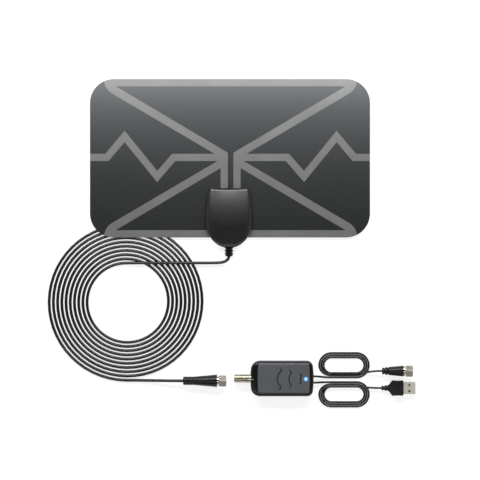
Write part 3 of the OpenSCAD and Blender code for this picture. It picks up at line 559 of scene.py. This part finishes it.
def deck_fall(y):
    """How far the crown lies below its highest line."""
    fall = DOME * (y - DOME_Y) ** 2
    over = min(END_ROUND, max(0.0, y - (TOP_Y - END_ROUND)))
    return fall + END_ROUND - math.sqrt(END_ROUND ** 2 - over ** 2)


def housing_rings(wall):
    """Rings of the crowned form drawn in by a wall, from its foot to its crown."""
    outline = housing_points(wall)
    rings = [[(x, y, foot_z(y) + lift) for x, y in outline] for lift in (0.0, 0.35)]
    rings.append([(x, y, skirt_z(y) - SKIRT_EASE) for x, y in outline])
    a, crown = A - wall, CROWN - wall
    for deg in (0, 4, 8, 12, 17, 22, 27, 33, 39, 45, 51, 57, 63, 69, 74, 78, 82, 85, 87):
        t = math.radians(deg)
        in_by = a * (1 - math.cos(t) ** (2 / CROWN_POWER))
        up = math.sin(t) ** (2 / CROWN_POWER)
        ring = []
        for x, y in housing_points(wall + in_by, wall):
            low_z = skirt_z(y) - (SKIRT_EASE if wall else 0.0)
            ring.append((x, y, low_z + (crown - deck_fall(y) * up - low_z) * up))
        rings.append(ring)
    return rings


def crown_strip(first, n):
    """Faces that close a ring of n points from its right side straight across to its left."""
    right = [first + i for i in range(SIDE_POINTS)]
    left = [first + n - 1 - i for i in range(SIDE_POINTS)]
    end = [first + i for i in range(SIDE_POINTS - 1, n - SIDE_POINTS + 1)]
    strip = [(right[i], right[i + 1], left[i + 1], left[i]) for i in range(SIDE_POINTS - 1)]
    return strip + [tuple(end)]


points, faces = loft(housing_rings(HOUSING_WALL)[::-1] + housing_rings(0.0), capped=False)
ring_n = 2 * SIDE_POINTS + ACROSS - 1
faces += crown_strip(0, ring_n) + crown_strip(len(points) - ring_n, ring_n)
housing = add_mesh("housing_cover", points, faces, HOUSING)
split_edges(housing, 50.0)
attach(housing, "antenna_set")
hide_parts("housing_front")

dress("housing_back", HOUSING_BACK, 0.3)
dress("lead_strain_relief", BOOT, 0.12)
dress("balun_board", BOARD)
dress("balun_core", FERRITE, 0.3)
dress("balun_winding", COPPER)
dress("feed_rivet_left", TIN)
dress("feed_rivet_right", TIN)

# ---------------------------------------------------------------- aerial plugs

for plug in ("lead_plug", "rf_plug"):
    dress(plug + "_boot", BOOT, 0.15)
    dress(plug + "_body", NICKEL, 0.12)
    dress(plug + "_nut", NICKEL, 0.18)
    dress(plug + "_insulator", WHITE)
    dress(plug + "_pin", TIN)


PITCH = 0.79
PITCH_STEPS = 6
FLAT = 0.12                      # share of the pitch that is flat on a thread's crest and in its root
SHALLOW = 0.35                   # share of a thread's depth that it starts with
NUT_CREST, NUT_DEPTH, NUT_BORE = 4.28, 0.36, 4.33


def thread_radius(x, crest, depth):
    """The radius, as a function of the angle, of a thread at x along its axis."""
    def radius(a):
        u = (x / PITCH - a / (2 * math.pi)) % 1.0
        v = 1 - abs(2 * u - 1)
        return crest - depth * min(1.0, max(0.0, (v - FLAT) / (1 - 2 * FLAT)))
    return radius


def thread_rings(at, x0, x1, crest, depth, fade=0):
    """Rings of a thread from x0 to x1, which starts and ends shallow over a number of rings."""
    n = int((x1 - x0) / PITCH * PITCH_STEPS)
    rings = []
    for i in range(n + 1):
        x = x0 + (x1 - x0) * i / n
        full = min(1.0, i / fade, (n - i) / fade) if fade else 1.0
        rings.append(ring_x(at, x, thread_radius(x, crest, depth * (SHALLOW + (1 - SHALLOW) * full))))
    return rings


def nut_thread(name, at, x0, x1, body):
    """The thread inside a coupling nut, as a sleeve on its bore."""
    inner = thread_rings(at, x0, x1, NUT_CREST, NUT_DEPTH)
    rings = [ring_x(at, x1, NUT_BORE), ring_x(at, x0, NUT_BORE)] + inner + [ring_x(at, x1, NUT_BORE)]
    points, faces = loft(rings, capped=False)
    o = add_mesh(name, points, faces, NICKEL)
    weld(o, join=True)
    split_edges(o, 50.0)
    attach(o, body)
    return o


LEAD_PLUG = (-46.9, -143.2, 6.5)
RF_PLUG = (151.9, -133.4, 11 / math.sqrt(3) + 0.05)    # its nut, 11 mm across flats, stands on an edge
lead_thread = nut_thread("lead_nut_thread", LEAD_PLUG, 38.4, 43.1, "lead_nut")
rf_thread = nut_thread("rf_nut_thread", RF_PLUG, 25.9, 30.6, "rf_nut")

# ---------------------------------------------------------------- amplifier box

AMP = (51.95, -140.8)
AMP_L, AMP_W, AMP_H = 63.1, 35.4, 15.0
AMP_BOW, DECK_BOW = 1.5, 0.45    # how far the ends of the box and of its deck curve in towards the corners
LEFT_CORNER, RIGHT_CORNER, DECK_CORNER = 8, 5, 2.5
PLATEAU = (-24.45, 27.75, -14.7, 13.3)     # the raised deck's left, right, lower and upper side
SPLIT, EDGE = 7.5, 11.0          # heights at which the shells meet and the shoulder starts
REVEAL = 0.45                    # the deck stands above its rim by this
CORNER_STEPS, SIDE_STEPS = 24, 18


def rounded(x0, x1, y0, y1, rl, rr):
    """A rectangle with corners of radius rl on the left and rr on the right."""
    n, m = CORNER_STEPS, SIDE_STEPS
    out = arc(x0 + rl, y0 + rl, rl, 180, 270, n) + arc(x1 - rr, y0 + rr, rr, 270, 360, n)
    out += [(x1, y0 + rr + (y1 - y0 - 2 * rr) * i / m) for i in range(1, m)]
    out += arc(x1 - rr, y1 - rr, rr, 0, 90, n) + arc(x0 + rl, y1 - rl, rl, 90, 180, n)
    out += [(x0, y0 + rl + (y1 - y0 - 2 * rl) * i / m) for i in range(m - 1, 0, -1)]
    return out


def bowed(outline, bow, mid, half):
    """An outline whose ends curve in by bow at a distance half from its middle line."""
    return [(x - math.copysign(bow * ((y - mid) / half) ** 2, x), y) for x, y in outline]


def amp_points(inset):
    """The box's outline drawn in all round."""
    x, y = AMP_L / 2 - inset, AMP_W / 2 - inset
    return bowed(rounded(-x, x, -y, y, LEFT_CORNER - inset, RIGHT_CORNER - inset), AMP_BOW, 0.0, y)


def plateau_points(inset):
    """The outline of the deck's place drawn in all round."""
    x0, x1, y0, y1 = PLATEAU
    corner = DECK_CORNER - min(inset, 2)
    outline = rounded(x0 + inset, x1 - inset, y0 + inset, y1 - inset, corner, corner)
    return bowed(outline, DECK_BOW, (y1 + y0) / 2, (y1 - y0) / 2)


def deck_points(left, right, low, high):
    """The deck's outline with its four sides moved in by their own amounts."""
    x0, x1, y0, y1 = PLATEAU[0] + left, PLATEAU[1] - right, PLATEAU[2] + low, PLATEAU[3] - high
    corner = DECK_CORNER - min(max(0.0, low), 1.8)
    return bowed(rounded(x0, x1, y0, y1, corner, corner), DECK_BOW, (y1 + y0) / 2, (y1 - y0) / 2)


def amp_ring(points, z):
    return [(AMP[0] + x, AMP[1] + y, z) for x, y in points]


def blend_points(a, b, k):
    """Points that lie a share k of the way from one outline to another."""
    return [(p[0] + (q[0] - p[0]) * k, p[1] + (q[1] - p[1]) * k) for p, q in zip(a, b)]


outer, inner = amp_points(0), plateau_points(-0.35)
rim_rings = [amp_ring(amp_points(0.25), SPLIT + 0.02), amp_ring(outer, SPLIT + 0.3)]
for deg in (0, 8, 16, 24, 32, 40, 48, 56, 64, 72, 80, 90):
    t = math.radians(deg)
    z = EDGE + (AMP_H - REVEAL - EDGE) * math.sin(t)
    rim_rings.append(amp_ring(blend_points(outer, inner, 1 - math.cos(t)), z))
rim_rings.append(amp_ring(plateau_points(0.15), AMP_H - REVEAL))
rim_rings.append(amp_ring(plateau_points(0.3), AMP_H - 2 * REVEAL))
points, faces = loft(rim_rings)
rim = add_mesh("amplifier_rim", points, faces, AMP_BLACK)
split_edges(rim, 40.0)


WAVE_W, WAVE_DEPTH = 1.05, 0.6
TAPER = 2.2                      # points over which a wave narrows to its end
LAMP_HOLE_R, LAMP_HOLE_POINTS = 2.4, 48


def stripe_mesh(path, w, z0, z1):
    """A closed wall along a path of width w, from z0 to z1, to cut a groove with."""
    left, right = [], []
    n = len(path)
    for i, p in enumerate(path):
        a, b = path[max(i - 1, 0)], path[min(i + 1, n - 1)]
        d = math.hypot(b[0] - a[0], b[1] - a[1])
        s = (-(b[1] - a[1]) / d, (b[0] - a[0]) / d)
        grow = math.sqrt(min(1.0, (i + 0.35) / TAPER, (n - 1 - i + 0.35) / TAPER))
        left.append((p[0] + s[0] * w / 2 * grow, p[1] + s[1] * w / 2 * grow))
        right.append((p[0] - s[0] * w / 2 * grow, p[1] - s[1] * w / 2 * grow))
    outline = left + right[::-1]
    return loft([[(x, y, z0) for x, y in outline], [(x, y, z1) for x, y in outline]])


WAVES = (
    [(-1.8, 10.3), (-0.8, 9), (-1.8, 6.8), (-3.4, 4.6), (-4.4, 2), (-4.7, -0.6), (-4.3, -3.2), (-3.2, -5.6),
     (-1.5, -7.9), (-1.5, -9.4), (-3.2, -10.9)],
    [(7, 8), (9.2, 6.9), (9, 5.2), (7.6, 3.4), (7, 1.2), (7, -1.2), (7.6, -3.8), (8.8, -6), (8.4, -7.6),
     (7.2, -8.6)],
    [(17.3, 5.4), (18.9, 4), (18.9, 2.2), (18.4, 0), (18.7, -2.4), (18.6, -4.2), (17, -5.6)])
DECK_RINGS = (                   # how far each side is drawn in, and the depth below the top
    ((0.25, 0.25, 0.25, -1.35), 0.95), ((0.05, 0.05, 0.05, -1.7), 0.70), ((0.05, 0.05, 0.05, -1.7), 0.52),
    ((0.55, 1.15, 1.25, -0.15), 0.03), ((0.85, 1.5, 1.6, 0.25), 0.0))
points, faces = loft([amp_ring(deck_points(*sides), AMP_H - depth) for sides, depth in DECK_RINGS])
deck = add_mesh("amplifier_deck", points, faces, AMP_DECK)


def cut(target, points, faces):
    """Cuts a closed form out of a piece, at once."""
    tool = add_mesh("cutter", points, faces, GROOVE)
    mod = target.modifiers.new("cut", "BOOLEAN")
    mod.operation = "DIFFERENCE"
    mod.solver = "EXACT"
    mod.material_mode = "TRANSFER"
    mod.object = tool
    bpy.context.view_layer.objects.active = target
    with bpy.context.temp_override(object=target, active_object=target):
        bpy.ops.object.modifier_apply(modifier=mod.name)
    data = tool.data
    bpy.data.objects.remove(tool)
    bpy.data.meshes.remove(data)


for wave in WAVES:
    path = smooth_path([(AMP[0] + x, AMP[1] + y) for x, y in wave], 0.5)
    cut(deck, *stripe_mesh(path, WAVE_W, AMP_H - WAVE_DEPTH, AMP_H + 1))
circle = arc(LAMP_AT[0] / MM, LAMP_AT[1] / MM, LAMP_HOLE_R, 0, 360, LAMP_HOLE_POINTS)[:-1]
hole = loft([[(x, y, AMP_H - 3) for x, y in circle], [(x, y, AMP_H + 2) for x, y in circle]])
cut(deck, *hole)
cut(rim, *hole)
soften(deck, 0.06, 1, 32.0)
split_edges(deck, 32.0)
for o in (rim, deck):
    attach(o, "antenna_set")
    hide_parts("amp_top_shell")

dress("amp_bottom_shell", AMP_FLOOR, 0.25)
dress("amp_board", BOARD)
dress("amp_chip", CHIP, 0.1)
dress("amp_inductor", FERRITE, 0.1)
dress("amp_socket_insulator", WHITE, 0.1)
dress("amp_socket_contact", GOLD)
dress("amp_lamp", LAMP)

# the threaded aerial socket
SOCKET = (AMP[0] - AMP_L / 2, AMP[1], SPLIT)
SOCKET_L, SOCKET_R, SOCKET_THREAD = 16.4, 4.75, 0.42
BORE = 3.45
MOUTH = ((-SOCKET_L, BORE), (-SOCKET_L, 4.0), (0.55 - SOCKET_L, 4.42))     # (place along the axis, radius)
REAR = ((-1.15, 4.4), (-0.85, 4.4), (-0.8, 5.1), (-0.7, 5.2), (2.3, 5.2), (2.3, 6.4), (3.5, 6.4), (3.5, 4.15),
        (9.4, 4.15), (9.4, BORE), (9.3, BORE), (-SOCKET_L, BORE))
rings = [ring_x(SOCKET, x, r) for x, r in MOUTH]
rings += thread_rings(SOCKET, 0.6 - SOCKET_L, -1.2, SOCKET_R, SOCKET_THREAD, fade=6)
rings += [ring_x(SOCKET, x, r) for x, r in REAR]
points, faces = loft(rings, capped=False)
socket = add_mesh("aerial_socket", points, faces, NICKEL)
weld(socket, join=True)
split_edges(socket, 48.0)
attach(socket, "antenna_set")
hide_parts("amp_socket")

# ---------------------------------------------------------------- power plug

dress("usb_grip", BOOT, 0.3)
dress("usb_shell", STEEL, 0.1)
dress("usb_tongue", WHITE, 0.1)
dress("usb_contacts", SHADED_GOLD)

# ---------------------------------------------------------------- floor, world and lamps

scene = bpy.context.scene
scene.view_settings.view_transform = "Standard"


def seen_only(t):
    """1 for what the camera sees directly or in a mirror or through glass."""
    path = t.nodes.new("ShaderNodeLightPath")
    total = path.outputs["Is Camera Ray"]
    for extra in ("Is Glossy Ray", "Is Transmission Ray"):
        add = t.nodes.new("ShaderNodeMath")
        add.operation = "MAXIMUM"
        t.links.new(total, add.inputs[0])
        t.links.new(path.outputs[extra], add.inputs[1])
        total = add.outputs["Value"]
    return total


FLOOR_HALF = 6
FLOOR_COLOUR, FLOOR_GLOW = 0.40, 0.79      # together the floor is seen as white, and keeps its shadow
floor_mesh = bpy.data.meshes.new("floor")
floor_mesh.from_pydata([(FLOOR_HALF * x, FLOOR_HALF * y, 0) for x, y in ((-1, -1), (1, -1), (1, 1), (-1, 1))],
                       [], [(0, 1, 2, 3)])
floor = bpy.data.objects.new("floor", floor_mesh)
floor.location = (0, 0, -0.1 * MM)
bpy.context.collection.objects.link(floor)
fm = bpy.data.materials.new("floor")
fm.use_nodes = True
t = fm.node_tree
t.nodes.clear()
out = t.nodes.new("ShaderNodeOutputMaterial")
add = t.nodes.new("ShaderNodeAddShader")
matt = t.nodes.new("ShaderNodeBsdfDiffuse")
matt.inputs["Color"].default_value = (FLOOR_COLOUR, FLOOR_COLOUR, FLOOR_COLOUR, 1)
glow = t.nodes.new("ShaderNodeEmission")
glow.inputs["Color"].default_value = (1, 1, 1, 1)
strength = t.nodes.new("ShaderNodeMath")
strength.operation = "MULTIPLY"
strength.inputs[1].default_value = FLOOR_GLOW
t.links.new(seen_only(t), strength.inputs[0])
t.links.new(strength.outputs["Value"], glow.inputs["Strength"])
t.links.new(matt.outputs["BSDF"], add.inputs[0])
t.links.new(glow.outputs["Emission"], add.inputs[1])
t.links.new(add.outputs["Shader"], out.inputs["Surface"])
floor_mesh.materials.append(fm)

HORIZON, ZENITH = (0.62, 0.62, 0.62), (0.03, 0.03, 0.031)
ZENITH_FROM = 0.85               # sine of the height from which the sky is dark
world = bpy.data.worlds.new("world")
scene.world = world
world.use_nodes = True
t = world.node_tree
back = t.nodes["Background"]
co = t.nodes.new("ShaderNodeTexCoord")
sep = t.nodes.new("ShaderNodeSeparateXYZ")
t.links.new(co.outputs["Generated"], sep.inputs["Vector"])
sky = ramp(t, sep.outputs["Z"], [(0.0, HORIZON), (ZENITH_FROM, ZENITH)])
t.links.new(sky, back.inputs["Color"])
back.inputs["Strength"].default_value = 1.0


def area(name, location, target, size, power):
    """A rectangular softbox that faces a target, its size in metres and its power in watts."""
    d = bpy.data.lights.new(name, "AREA")
    d.shape = "RECTANGLE"
    d.size, d.size_y = size
    d.energy = power
    o = bpy.data.objects.new(name, d)
    bpy.context.collection.objects.link(o)
    o.location = location
    way = Vector(target) - Vector(location)
    o.rotation_euler = way.to_track_quat("-Z", "Y").to_euler()


area("key_softbox", (0.0, 0.262, 0.405), (0.0, -0.02, 0.0), (0.80, 0.10), 3.0)
area("front_softbox", (0.0, -0.262, 0.42), (0.0, -0.14, 0.0), (0.80, 0.05), 0.50)
